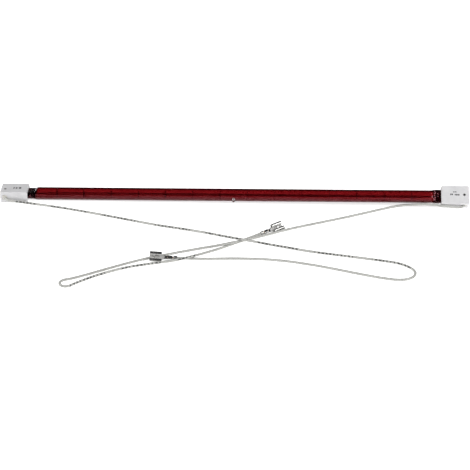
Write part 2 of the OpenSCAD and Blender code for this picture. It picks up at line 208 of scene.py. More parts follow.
def tip_spot(above: float, share: float) -> Point:
    """Place on the exhaust tip, at an angle above its axis and at a share of its length."""
    s = SIZES
    aim = math.pi + s.tip_drop - above
    reach = s.tube_r + share * s.tip_length
    return tuple(s.at_rest() @ Vector((0.0, reach * math.cos(aim), reach * math.sin(aim))))


def vent_mouth(side: Side) -> Point:
    """Middle of the vent's mouth in a cap's wide face."""
    s = SIZES
    across = s.vent_side_left if side is Side.LEFT else s.vent_side_right
    return tuple(s.at_end(side) @ Vector((s.cap_out - s.port_inset, across, s.cap_thickness / 2)))


def lengths_along(points: Array, power: float = 1.0) -> Array:
    """Sum of the steps up to each point of a line, each step to a power."""
    return np.concatenate([[0.0], np.cumsum(np.linalg.norm(np.diff(points, axis=0), axis=1) ** power)])


def ease(share: float) -> float:
    """A step from 0 to 1 with level ends, for a share from 0 to 1."""
    clamped = min(max(share, 0.0), 1.0)
    return (1 - math.cos(math.pi * clamped)) / 2


class Graph:
    """Short ways to fill one node tree."""

    def __init__(self, tree: Tree) -> None:
        """Keeps the tree that is filled."""
        self.tree = tree

    def feed(self, socket: Socket, value: Any) -> None:
        """Gives an input a value, a colour without alpha, or the socket that feeds it."""
        if isinstance(value, Socket):
            self.tree.links.new(value, socket)
        else:
            socket.default_value = (*value, 1.0) if socket.type == "RGBA" else value

    def add(self, kind: str, inputs: dict[Any, Any] | None = None, **values: Any) -> bpy.types.Node:
        """Adds a node.

        Args:
            kind: The node's type name.
            inputs: For each input's name or number, a value or the socket that feeds it.
            **values: Properties of the node itself.

        Returns:
            The new node.
        """
        node = self.tree.nodes.new(kind)
        for name, value in values.items():
            setattr(node, name, value)
        for key, value in (inputs or {}).items():
            self.feed(node.inputs[key], value)
        return node

    def first(self, kind: str, inputs: dict[Any, Any] | None = None, **values: Any) -> Socket:
        """Adds a node and returns its first output."""
        return self.add(kind, inputs, **values).outputs[0]

    def math(self, operation: str, *values: Any) -> Socket:
        """Result of a Math node over values or sockets."""
        return self.first("ShaderNodeMath", dict(enumerate(values)), operation=operation)

    def plus(self, one: Any, other: Any) -> Socket:
        """Sum of two values."""
        return self.math("ADD", one, other)

    def minus(self, one: Any, other: Any) -> Socket:
        """The first value less the second."""
        return self.math("SUBTRACT", one, other)

    def times(self, one: Any, other: Any) -> Socket:
        """Product of two values."""
        return self.math("MULTIPLY", one, other)

    def vector(self, operation: str, one: Any, other: Any) -> Outputs:
        """Outputs of a Vector Math node over two vectors."""
        return self.add("ShaderNodeVectorMath", {0: one, 1: other}, operation=operation).outputs

    def blend(self, share: Any, low: Any, high: Any) -> Socket:
        """Value between low and high at a share."""
        return self.first("ShaderNodeMix", {0: share, 2: low, 3: high})

    def mix(self, share: Any, low: Any, high: Any) -> Socket:
        """Colour between low and high at a share."""
        return self.add("ShaderNodeMix", {0: share, 6: low, 7: high}, data_type="RGBA").outputs[2]

    def span(self, value: Any, low: float, high: float, to_low: Any = 0.0, to_high: Any = 1.0) -> Socket:
        """A value mapped from one range to another and held inside it."""
        inputs = {0: value, 1: low, 2: high, 3: to_low, 4: to_high}
        return self.first("ShaderNodeMapRange", inputs)

    def noise(self, vector: Any, scale: Any, detail: float) -> Socket:
        """Value of a noise texture."""
        inputs = {"Vector": vector, "Scale": scale, "Detail": detail}
        return self.first("ShaderNodeTexNoise", inputs)


def shader_group(name: str, inputs: dict[str, Any], outputs: Sequence[str]) -> tuple[Graph, Outputs]:
    """Starts a shader node group with a Vector input and named sockets.

    Args:
        name: The group's name.
        inputs: For each further input, its first value, a number or a vector.
        outputs: Names of the outputs, which are numbers.

    Returns:
        The graph of the group and the sockets of its inputs.
    """
    tree = bpy.data.node_groups.new(name, "ShaderNodeTree")
    tree.interface.new_socket("Vector", in_out="INPUT", socket_type="NodeSocketVector")
    for label, value in inputs.items():
        kind = "NodeSocketVector" if isinstance(value, tuple) else "NodeSocketFloat"
        tree.interface.new_socket(label, in_out="INPUT", socket_type=kind).default_value = value
    for label in outputs:
        tree.interface.new_socket(label, in_out="OUTPUT", socket_type="NodeSocketFloat")
    graph = Graph(tree)
    return graph, graph.add("NodeGroupInput").outputs


class SharedEffects:
    """Shader groups that more than one finish uses. Each is built once."""

    def __init__(self) -> None:
        """Builds the groups."""
        self.mottle = self._mottle()
        self.specks = self._specks()
        self.hairlines = self._hairlines()

    @staticmethod
    def _mottle() -> Tree:
        """Soft cloudy change between two values, with finer grain over it."""
        fineness, cloud_share, grain_share = 9.0, 0.7, 0.3
        g, start = shader_group("soft mottle", {"Scale": 300.0, "Low": 0.0, "High": 1.0}, ("Value", "Grain"))
        cloud = g.noise(start["Vector"], start["Scale"], 3.0)
        grain = g.noise(start["Vector"], g.times(start["Scale"], fineness), 2.0)
        mixed = g.plus(g.times(cloud, cloud_share), g.times(grain, grain_share))
        value = g.span(mixed, 0.36, 0.64, start["Low"], start["High"])
        g.add("NodeGroupOutput", {"Value": value, "Grain": grain})
        return g.tree

    @staticmethod
    def _specks() -> Tree:
        """Mask of small round specks of uneven size."""
        least, growth, soft_edge = 0.4, 2.0, 0.4
        g, start = shader_group("small specks", {"Scale": 900.0, "Reach": 0.2, "Share": 0.3}, ("Mask",))
        cells = g.add("ShaderNodeTexVoronoi", {"Vector": start["Vector"], "Scale": start["Scale"]}).outputs
        tone = g.first("ShaderNodeSeparateColor", {0: cells["Color"]})
        chosen = g.math("LESS_THAN", tone, start["Share"])
        radius = g.times(start["Reach"], g.plus(g.times(tone, growth), least))
        near = g.minus(1.0, g.math("DIVIDE", cells["Distance"], radius))
        g.add("NodeGroupOutput", {"Mask": g.times(chosen, g.span(near, 0.0, soft_edge))})
        return g.tree

    @staticmethod
    def _hairlines() -> Tree:
        """Fine lines drawn out along one direction, as on drawn or rolled metal."""
        g, start = shader_group("drawn hairlines", {"Stretch": (1.0, 1.0, 1.0), "Scale": 2000.0}, ("Value",))
        drawn = g.vector("MULTIPLY", start["Vector"], start["Stretch"])[0]
        g.add("NodeGroupOutput", {"Value": g.span(g.noise(drawn, start["Scale"], 3.0), 0.35, 0.65)})
        return g.tree


class Surface(Graph):
    """One material in the making: its shader, its object coordinates and its graph."""

    def __init__(self, name: str, effects: SharedEffects) -> None:
        """Creates the material by its name, with the shared shader groups at hand."""
        self.material = bpy.data.materials.new(name)
        self.material.use_nodes = True
        super().__init__(self.material.node_tree)
        self.tree.nodes.clear()
        self.effects = effects
        self.shader = self.add("ShaderNodeBsdfPrincipled")
        self.output = self.add("ShaderNodeOutputMaterial", {"Surface": self.shader.outputs[0]})
        self.place = self.add("ShaderNodeTexCoord").outputs["Object"]

    def set(self, **values: Any) -> None:
        """Gives the shader values or sockets, with _ for a space in an input's name."""
        for key, value in values.items():
            self.feed(self.shader.inputs[key.replace("_", " ")], value)

    def use(self, tree: Tree, **inputs: Any) -> Outputs:
        """Places a shared group on the object coordinates and returns its outputs."""
        return self.add("ShaderNodeGroup", {"Vector": self.place, **inputs}, node_tree=tree).outputs

    def cloud(self, scale: float, low: float = 0.0, high: float = 1.0) -> Outputs:
        """Value and grain of the mottle."""
        return self.use(self.effects.mottle, Scale=scale, Low=low, High=high)

    def specks(self, scale: float, reach: float, share: float) -> Socket:
        """Mask of the specks."""
        return self.use(self.effects.specks, Scale=scale, Reach=reach, Share=share)["Mask"]

    def hairlines(self, scale: float, stretch: float) -> Socket:
        """Hairlines drawn out along the lamp."""
        return self.use(self.effects.hairlines, Stretch=(stretch, 1.0, 1.0), Scale=scale)["Value"]

    def within(self, spot: Point, full: float, none: float) -> Socket:
        """Mask of what is near a spot: 1 up to one distance, 0 past another."""
        return self.span(self.vector("DISTANCE", self.place, spot)["Value"], full, none, 1.0, 0.0)

    def bump(self, height: Socket, distance: float, strength: float) -> None:
        """Adds relief: its height from 0 to 1, the metres of a full step and the share of the effect."""
        relief = {"Strength": strength, "Distance": distance, "Height": height}
        self.feed(self.shader.inputs["Normal"], self.first("ShaderNodeBump", relief))


@dataclass(frozen=True)
class Finish:
    """A finish of the lamp: its colours and sizes, and how they are painted."""

    name: str

    def make(self, effects: SharedEffects) -> Material:
        """Builds the material."""
        surface = Surface(self.name, effects)
        self.paint(surface)
        return surface.material

    def paint(self, g: Surface) -> None:
        """Paints a surface. Each finish has its own way."""
        raise NotImplementedError


@dataclass(frozen=True)
class RubyQuartz(Finish):
    """Ruby quartz: clear surface, and a red that deepens with the thickness of the glass; a painted highlight
    on the exhaust tip's foot and painted shade at its end.
    """

    name: str = "ruby quartz"
    red: Colour = (0.625, 0.01, 0.07)
    density: float = 2800.0
    clear: Colour = (1.0, 0.93, 0.94)
    gleam: Colour = (0.9, 0.3, 0.36)
    refraction: float = 1.458
    worked_roughness: float = 0.13
    tip_shade: Colour = (0.12, 0.04, 0.045)
    glint_refraction: float = 2.6
    glint_roughness: float = 0.25

    def paint(self, g: Surface) -> None:
        """Paints a surface."""
        s = SIZES
        haze = g.cloud(120.0, 0.01, 0.03)["Value"]
        pressed = g.cloud(420.0, 0.1, 0.3)["Value"]
        out = g.math("ABSOLUTE", g.first("ShaderNodeSeparateXYZ", {0: g.place}))
        heated = g.span(out, s.shoulder_start - 0.5 * MM, s.shoulder_start + MM)
        held = g.span(out, s.shoulder_end - 0.8 * MM, s.shoulder_end)
        # Painted shade: the end of the exhaust tip is tinted dark
        nib = g.within(tip_spot(-0.1, 1.0), 0.55 * MM, 0.85 * MM)
        # Painted highlight: a strong coat on the exhaust tip's upper foot makes a glint
        foot = g.within(tip_spot(0.25, 0.4), 1.1 * MM, 1.4 * MM)
        g.set(
            Base_Color=g.mix(nib, self.clear, self.tip_shade),
            Roughness=g.blend(held, g.blend(heated, haze, self.worked_roughness), pressed),
            IOR=self.refraction, Transmission_Weight=1.0, Specular_Tint=self.gleam,
            Coat_Weight=g.times(foot, g.minus(1.0, nib)), Coat_IOR=self.glint_refraction,
            Coat_Roughness=self.glint_roughness,
        )
        depth = g.add("ShaderNodeVolumeAbsorption", {"Color": self.red, "Density": self.density})
        g.feed(g.output.inputs["Volume"], depth.outputs[0])


@dataclass(frozen=True)
class DrawnMetal(Finish):
    """Drawn metal whose tone and gloss change a little over its length."""

    dark: Colour
    light: Colour
    smooth: float
    rough: float
    line_depth: float = 0.015 * MM

    def paint(self, g: Surface) -> None:
        """Paints a surface."""
        tone = g.cloud(700.0)["Value"]
        g.set(
            Base_Color=g.mix(tone, self.dark, self.light),
            Roughness=g.span(tone, 0.0, 1.0, self.rough, self.smooth),
            Metallic=1.0,
        )
        g.bump(g.hairlines(5000.0, 0.05), self.line_depth, 0.5)


@dataclass(frozen=True)
class TinnedSheet(Finish):
    """Bright tinned brass sheet with rolling lines and stains, and painted light on the web inside the slots,
    which is made lighter, less metallic and rougher.
    """

    name: str = "tinned brass sheet"
    bright: Tones = ((0.25, 0.247, 0.24), (0.40, 0.397, 0.39))
    painted_light_web: Tones = ((0.50, 0.495, 0.48), (0.66, 0.655, 0.64))
    stain: Colour = (0.16, 0.14, 0.12)
    stain_share: float = 0.8
    line_depth: float = 0.02 * MM
    painted_light_reach: tuple[float, float] = (2.0 * MM, 2.6 * MM)

    def paint(self, g: Surface) -> None:
        """Paints a surface."""
        cloud = g.cloud(420.0)
        lines = g.hairlines(4200.0, 0.15)
        stained = g.times(g.specks(700.0, 0.5, 0.25), self.stain_share)
        # Painted light: the web between the curls is made lighter, less metallic and rougher
        painted_light_web = g.math("MAXIMUM", *(self._inside_slot(g, side) for side in Side))
        base = g.mix(painted_light_web, *(g.mix(cloud["Value"], *tones) for tones in (self.bright, self.painted_light_web)))
        gloss = g.plus(g.times(cloud["Value"], 0.5), g.times(lines, 0.5))
        g.set(
            Base_Color=g.mix(stained, base, self.stain),
            Roughness=g.plus(g.span(gloss, 0.0, 1.0, 0.34, 0.16), g.times(painted_light_web, 0.2)),
            Metallic=g.minus(1.0, g.times(painted_light_web, 0.6)),
        )
        g.bump(g.plus(lines, g.times(cloud["Grain"], 0.6)), self.line_depth, 0.6)

    def _inside_slot(self, g: Surface, side: Side) -> Socket:
        """Mask of the web between the curls of one terminal."""
        mouth, out = SLOTS[side]
        offset = g.vector("SUBTRACT", g.place, mouth)[0]
        reach = g.vector("DOT_PRODUCT", offset, out)["Value"]
        held = g.span(reach, -SLOT_LENGTH, 0.0, -SLOT_LENGTH, 0.0)
        on_line = g.first("ShaderNodeVectorMath", {0: out, "Scale": held}, operation="SCALE")
        return g.span(g.vector("DISTANCE", offset, on_line)["Value"], *self.painted_light_reach, 1.0, 0.0)


@dataclass(frozen=True)
class Steatite(Finish):
    """White ceramic with a fine grain, faint clouds, a few dark specks and painted shade round the vents."""

    name: str = "white steatite"
    tones: Tones = ((0.56, 0.555, 0.565), (0.62, 0.615, 0.62))
    speck: Colour = (0.3, 0.28, 0.26)
    speck_share: float = 0.7
    vent_shade_tone: Colour = (0.09, 0.085, 0.08)
    grain_depth: float = 0.04 * MM

    def paint(self, g: Surface) -> None:
        """Paints a surface."""
        cloud = g.cloud(160.0)
        specks = g.times(g.specks(1100.0, 0.16, 0.05), self.speck_share)
        # Painted shade: dark colour round the mouth of each vent
        vent_shade = g.math("MAXIMUM", *(g.within(vent_mouth(side), 0.85 * MM, 1.25 * MM) for side in Side))
        speckled = g.mix(specks, g.mix(cloud["Value"], *self.tones), self.speck)
        g.set(
            Base_Color=g.mix(vent_shade, speckled, self.vent_shade_tone),
            Roughness=g.span(cloud["Grain"], 0.3, 0.7, 0.42, 0.66),
            Specular_IOR_Level=0.45,
        )
        g.bump(cloud["Grain"], self.grain_depth, 0.7)


@dataclass(frozen=True)
class DryCement(Finish):
    """Grey-white dry cement, coarse and matt."""

    name: str = "dry cement"
    tones: Tones = ((0.52, 0.5, 0.46), (0.7, 0.68, 0.63))
    grain_depth: float = 0.12 * MM

    def paint(self, g: Surface) -> None:
        """Paints a surface."""
        cloud = g.cloud(800.0)
        g.set(
            Base_Color=g.mix(cloud["Value"], *self.tones),
            Roughness=g.span(cloud["Grain"], 0.3, 0.7, 0.8, 0.95),
        )
        g.bump(g.minus(cloud["Grain"], g.times(g.specks(1800.0, 0.3, 0.4), 0.5)), self.grain_depth, 0.9)


@dataclass(frozen=True)
class BraidedSleeve(Finish):
    """White braided sleeve with plain print and painted shade in the grooves of its braid, on its own UV map.

    U is metres along the lead and V is the share of a turn.
    """

    name: str = "printed sleeve"
    tones: Tones = ((0.41, 0.41, 0.39), (0.50, 0.50, 0.475))
    groove_shade: Colour = (0.28, 0.28, 0.26)
    groove_shade_share: float = 0.35
    ink: Colour = (0.02, 0.02, 0.022)
    carriers: float = 8.0
    pitch: float = 2.2 * MM
    braid_depth: float = 0.08 * MM
    dash_step: float = 2.9 * MM
    dash_fill: tuple[float, float] = (0.25, 0.8)
    run_length: float = 44 * MM
    run_share: float = 0.72
    printed: tuple[float, float] = (14 * MM, 455 * MM)
    band_middle: float = 0.34
    band_half: float = 0.09
    ink_share: float = 0.95

    def paint(self, g: Surface) -> None:
        """Paints a surface."""
        uv = g.first("ShaderNodeUVMap", uv_map="along")
        along, around = g.add("ShaderNodeSeparateXYZ", {0: uv}).outputs[:2]
        turn = g.times(around, self.carriers)
        run = g.math("DIVIDE", along, self.pitch / 2)
        strands = (g.math("SINE", g.times(way, math.pi)) for way in (g.plus(turn, run), g.minus(turn, run)))
        weave = g.times(*(g.math("ABSOLUTE", strand) for strand in strands))
        cloud = g.cloud(260.0)
        body = g.mix(cloud["Value"], *self.tones)
        # Painted shade: darker colour in the grooves between the braid's strands
        woven = g.mix(g.times(g.minus(1.0, weave), self.groove_shade_share), body, self.groove_shade)
        g.set(
            Base_Color=g.mix(self._dashes(g, along, around), woven, self.ink),
            Roughness=g.span(cloud["Grain"], 0.3, 0.7, 0.62, 0.8),
        )
        g.bump(g.plus(weave, g.times(cloud["Grain"], 0.3)), self.braid_depth, 0.8)

    def _dashes(self, g: Surface, along: Socket, around: Socket) -> Socket:
        """Mask of plain short dashes in a band along the lead, in runs with wider gaps."""
        place = g.math("DIVIDE", along, self.dash_step)
        chance = g.add("ShaderNodeTexWhiteNoise", {"W": g.math("FLOOR", place)}, noise_dimensions="1D")
        filled = g.span(chance.outputs["Value"], 0.0, 1.0, *self.dash_fill)
        run = g.math("FRACT", g.math("DIVIDE", along, self.run_length))
        from_middle = g.math("ABSOLUTE", g.minus(around, self.band_middle))
        start, end = self.printed
        mask = self.ink_share
        for value, limit in (
            (g.math("FRACT", place), filled), (run, self.run_share), (start, along), (along, end),
            (from_middle, self.band_half),
        ):
            mask = g.times(mask, g.math("LESS_THAN", value, limit))
        return mask


@dataclass(frozen=True)
class StampedInk(Finish):
    """Grey-black stamped ink, thin in places."""

    name: str = "stamped ink"
    tones: Tones = ((0.008, 0.008, 0.01), (0.05, 0.05, 0.055))

    def paint(self, g: Surface) -> None:
        """Paints a surface."""
        tone = g.cloud(2500.0)["Value"]
        g.set(Base_Color=g.mix(tone, *self.tones), Roughness=g.span(tone, 0.0, 1.0, 0.5, 0.7))


@dataclass(frozen=True)
class PaleFloor(Finish):
    """Plain pale studio floor, lit a little from below so that shadows stay faint."""

    name: str = "pale floor"
    tones: Tones = ((0.90, 0.90, 0.90), (0.92, 0.92, 0.92))
    glow: float = 0.75

    def paint(self, g: Surface) -> None:
        """Paints a surface."""
        g.set(
            Base_Color=g.mix(g.cloud(2.0)["Value"], *self.tones), Roughness=0.9, Specular_IOR_Level=0.1,
            Emission_Color=(1.0, 1.0, 1.0), Emission_Strength=self.glow,
        )


class Finishes:
    """All finishes of the lamp, each made once."""

    def __init__(self) -> None:
        """Builds the shared effects and then each material."""
        effects = SharedEffects()
        self.ruby = RubyQuartz().make(effects)
        self.tungsten, self.molybdenum, self.nickel, self.copper = (metal.make(effects) for metal in (
            DrawnMetal("tungsten wire", (0.10, 0.095, 0.10), (0.22, 0.21, 0.22), 0.35, 0.6),
            DrawnMetal("molybdenum", (0.36, 0.36, 0.38), (0.52, 0.52, 0.54), 0.25, 0.45),
            DrawnMetal("nickel sleeve", (0.5, 0.48, 0.44), (0.66, 0.64, 0.6), 0.28, 0.5),
            DrawnMetal("tinned copper strands", (0.5, 0.38, 0.28), (0.72, 0.62, 0.52), 0.25, 0.5),
        ))
        self.tin = TinnedSheet().make(effects)
        self.ceramic = Steatite().make(effects)
        self.cement = DryCement().make(effects)
        self.sleeve = BraidedSleeve().make(effects)
        self.ink = StampedInk().make(effects)
        self.floor = PaleFloor().make(effects)


def linked(name: str, data: Any) -> Piece:
    """A new object at the origin of the scene."""
    item = bpy.data.objects.new(name, data)
    bpy.context.scene.collection.objects.link(item)
    return item


def dress(mesh: Mesh, material: Material) -> None:
    """Gives a mesh its only material."""
    mesh.materials.clear()
    mesh.materials.append(material)


def make_piece(
    name: str, mesh: Mesh, material: Material, slot: str, replaces: Sequence[str] = (), smooth: bool = True,
) -> Piece:
    """Links a finished mesh at the origin and hands it to the frame.

    Args:
        name: Name of the piece.
        mesh: Its mesh, in the row frame.
        material: Its only material.
        slot: Material slot of the record, or nothing for the studio's floor.
        replaces: CAD nodes that the piece stands for.
        smooth: Whether all faces are shaded smooth.

    Returns:
        The new object.
    """
    dress(mesh, material)
    mesh.polygons.foreach_set("use_smooth", [smooth] * len(mesh.polygons))
    piece = linked(name, mesh)
    if not slot:
        return piece
    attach(piece, BODY)
    if replaces:
        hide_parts(*replaces)
    log.info("%s: %d faces", name, len(mesh.polygons))
    return piece


def lofted(rings: Array, name: str) -> Mesh:
    """Closed skin through rings of points, with a fan at each end.

    Args:
        rings: Array of rings, points and coordinates. Each ring runs anticlockwise seen from its successor.
        name: Name of the mesh.

    Returns:
        The mesh, with faces that point outwards.
    """
    count, sides = rings.shape[:2]
    verts = rings.reshape(-1, 3).tolist()
    faces = [
        (i * sides + k, i * sides + (k + 1) % sides, (i + 1) * sides + (k + 1) % sides, (i + 1) * sides + k)
        for i in range(count - 1)
        for k in range(sides)
    ]
    for ring, first, flip in ((rings[0], 0, True), (rings[-1], (count - 1) * sides, False)):
        verts.append(ring.mean(0).tolist())
        hub = len(verts) - 1
        for k in range(sides):
            a, b = first + k, first + (k + 1) % sides
            faces.append((b, a, hub) if flip else (a, b, hub))
    mesh = bpy.data.meshes.new(name)
    mesh.from_pydata(verts, [], faces)
    mesh.validate()
    return mesh


def outward(mesh: Mesh, hollow: bool = False) -> None:
    """Turns the faces of a closed mesh outwards, or inwards for the wall of a hollow."""
    work = bmesh.new()
    work.from_mesh(mesh)
    bmesh.ops.recalc_face_normals(work, faces=work.faces)
    if hollow:
        bmesh.ops.reverse_faces(work, faces=work.faces)
    work.to_mesh(mesh)
    work.free()


@dataclass
class Lead:
    """One insulated lead, a round sleeve along its route."""

    side: Side
    route: list[Point]
    length: float
    finish: Material
    sides: int = 20
    step: float = 0.8 * MM

    def centreline(self) -> Array:
        """Even points along the smooth curve through the route, never lower than the lead's radius.

        Returns:
            Array of points, about one step apart.
        """
        p = np.array(self.route) * MM
        q = np.vstack([2 * p[0] - p[1], p, 2 * p[-1] - p[-2]])
        curve: list[Array] = []
        for i in range(1, len(q) - 2):
            four = q[i - 1:i + 3]
            knots = lengths_along(four, 0.5)
            for t in np.linspace(knots[1], knots[2], 24, endpoint=False):
                curve.append(self._between(four, knots, t))
        dense = np.array([*curve, p[-1]])
        along = lengths_along(dense)
        even = np.linspace(0, along[-1], round(along[-1] / self.step) + 1)
        line = np.stack([np.interp(even, along, dense[:, k]) for k in range(3)], axis=1)
        line[:, 2] = np.maximum(line[:, 2], SIZES.lead_r)
        return line

    @staticmethod
    def _between(four: Array, knots: Array, t: float) -> Array:
        """Point of the curve through four route points at a knot value."""
        level = list(four)
        for reach in (1, 2):
            pairs = [(level[i], level[i + 1], knots[i], knots[i + reach]) for i in range(4 - reach)]
            level = [((end - t) * a + (t - start) * b) / (end - start) for a, b, start, end in pairs]
        return ((knots[2] - t) * level[0] + (t - knots[1]) * level[1]) / (knots[2] - knots[1])

    def _sleeve(self, line: Array) -> Mesh:
        """Round tube along a line, with a UV map: metres along it, and the share of a turn round it.

        Args:
            line: Points of the middle of the tube.

        Returns:
            The closed mesh.
        """
        tangent = np.gradient(line, axis=0)
        tangent /= np.linalg.norm(tangent, axis=1, keepdims=True)
        across = np.cross(tangent, [0.0, 0.0, 1.0])
        across /= np.linalg.norm(across, axis=1, keepdims=True)
        over = np.cross(across, tangent)
        angles = np.arange(self.sides) / self.sides * math.tau
        turn = angles[None, :, None]
        rings = line[:, None] + SIZES.lead_r * (np.sin(turn) * across[:, None] - np.cos(turn) * over[:, None])
        mesh = lofted(rings, f"lead_{self.side.label}")
        along = lengths_along(line)
        runs = np.append(np.repeat(along, self.sides), [0.0, along[-1]])
        shares = np.append(np.tile(angles / math.tau, len(line)), [0.5, 0.5])
        layer = mesh.uv_layers.new(name="along")
        for face in mesh.polygons:
            ids = [mesh.loops[i].vertex_index for i in face.loop_indices]
            turns = shares[ids]
            if np.ptp(turns) > 0.5:
                turns = np.where(turns < 0.5, turns + 1, turns)
            for i, run, turn in zip(face.loop_indices, runs[ids], turns):
                layer.data[i].uv = (run, turn)
        outward(mesh)
        return mesh

    def build(self) -> Piece:
        """Returns:
            The finished piece.
        """
        line = self.centreline()
        end = self.side.label
        mesh = self._sleeve(line)
        piece = make_piece(f"insulated_lead_{end}", mesh, self.finish, "insulation", [f"lead_{end}"])
        return piece


@dataclass
class QuartzTube:
    """The ruby quartz tube: round shell, pinched ends with pressed panels, and the exhaust tip."""

    finish: Material
    sides: int = 240
    tip_reach: float = 1.45
    pinch_spread: float = 0.1
    pinch_swell: float = 0.35 * MM
    swell_stop: float = 0.8 * MM
    swell_fade: float = 0.6 * MM
    pinch_hardness: float = 9.0
    pinch_onset: float = 0.35
    hollow_taper: float = 0.35
    taper_run: tuple[float, float] = (0.55, 0.45)
    end_chamfer: tuple[float, float] = (0.97, 0.95)
    panel_share: float = 0.55
    panel_edge: float = 0.35 * MM

    def _stations(self) -> Array:
        """Places of the outer rings along the lamp, close together where the shape changes."""
        s = SIZES
        tip = np.linspace(-s.tip_r * self.tip_reach, s.tip_r * self.tip_reach, 45)
        shoulder = np.linspace(s.shoulder_start, s.shoulder_end, 25)
        panel = np.linspace(s.shoulder_end, s.seal_end - 0.4 * MM, 30)[1:]
        end = np.concatenate([shoulder, panel, [s.seal_end - 0.15 * MM, s.seal_end]])
        return np.concatenate([-end[::-1], tip, end])

    def _section(self, x: float, outer: bool) -> Array:
        """Ring of the outer or inner skin at a place along the lamp, in the lamp's own frame.

        Args:
            x: Place along the lamp.
            outer: Whether this is the outer skin.

        Returns:
            Array of points.
        """
        s = SIZES
        turned = s.twist if x > 0 else 0.0
        share = (abs(x) - s.shoulder_start) / s.shoulder
        radius = s.tube_r if outer else s.bore_r
        flat = s.seal_half if outer else s.wedge_half
        angle = np.arange(self.sides) / self.sides * math.tau - turned
        y, z = radius * np.cos(angle), radius * np.sin(angle)
        if outer and share > 0:
            open_part = ease(share) * (1 - ease((abs(x) - s.cap_in + self.swell_stop) / self.swell_fade))
            flat = flat + self.pinch_swell * open_part
            y = y * (1 + self.pinch_spread * open_part)
        if share > 0:
            half = radius + (flat - radius) * ease(share)
            u, hard = z / half, self.pinch_hardness
            clipped = half * u / (1 + np.abs(u) ** hard) ** (1 / hard)
            z = z + (clipped - z) * ease(share / self.pinch_onset)
            if not outer:
                start, run = self.taper_run
                y = y * (1 - self.hollow_taper * ease((share - start) / run))
        if outer and share > 1:
            z = z - np.sign(z) * s.panel_depth * self._panel(abs(x) - s.shoulder_end, y)
        if outer and abs(x) > s.seal_end - 0.1 * MM:
            y, z = y * self.end_chamfer[0], z * self.end_chamfer[1]
        c, w = math.cos(turned), math.sin(turned)
        y, z = y * c - z * w, y * w + z * c
        y, z = self._with_tip(x, y, z, outer)
        return np.stack([np.full_like(y, x), y, z], axis=1)

    def _panel(self, past: float, y: Array) -> Array:
        """Share of the pressed panel's depth at places across the flattened end."""
        half = SIZES.tube_r * self.panel_share
        start = half * 0.35
        stop = start + SIZES.seal_reveal + SIZES.seal_depth - half
        reach = np.hypot(np.minimum(past - (start + half), 0.0), y)
        side = np.clip((half - reach) / self.panel_edge + 0.5, 0, 1)
        end = min(max((stop - past) / self.panel_edge + 0.5, 0.0), 1.0)
        return side * side * (3 - 2 * side) * end

    def _with_tip(self, x: float, y: Array, z: Array, outer: bool) -> tuple[Array, Array]:
        """Raises the skin into the pulled-off exhaust tip near its foot."""
        s = SIZES
        if abs(x) > s.tip_r * self.tip_reach:
            return y, z
        aim = math.pi + s.tip_drop
        radius = s.tube_r if outer else s.bore_r
        swing = (np.arctan2(z, y) - aim + math.pi) % math.tau - math.pi
        away = np.hypot(x, radius * swing) / s.tip_r
        height = s.tip_length if outer else s.wall + 0.4 * s.tip_length
        narrow = 1.0 if outer else 0.5
        away = away / narrow
        dome_share, dome_reach, dome_power = 0.72, 0.8, 2.2
        foot_share, foot_reach = 0.28, 0.62
        skirt_share, skirt_reach = 0.1, 0.85
        dome = dome_share * np.sqrt(np.clip(1 - (away / dome_reach) ** dome_power, 0, 1))
        foot = foot_share * np.exp(-(away / foot_reach) ** 2.0)
        foot = foot + skirt_share * np.exp(-(away / skirt_reach) ** 4)
        fade = np.clip((self.tip_reach - away * narrow) / 0.3, 0, 1)
        lift = 1 + height * (dome + foot * fade) / (dome_share + foot_share + skirt_share) / radius
        return y * lift, z * lift

    def build(self) -> Piece:
        """Builds both skins as one closed shell.

        Returns:
            The finished piece.
        """
        stations = self._stations()
        skin = lofted(np.array([self._section(x, True) for x in stations]), "quartz_skin")
        bored = stations[np.abs(stations) <= SIZES.shoulder_end]
        hollow = lofted(np.array([self._section(x, False) for x in bored]), "quartz_hollow")
        outward(skin)
        outward(hollow, hollow=True)
        work = bmesh.new()
        work.from_mesh(skin)
        work.from_mesh(hollow)
        work.to_mesh(skin)
        work.free()
        bpy.data.meshes.remove(hollow)
        skin.transform(SIZES.at_rest())
        return make_piece("ruby_quartz_tube", skin, self.finish, "ruby_quartz", ["quartz_envelope"])


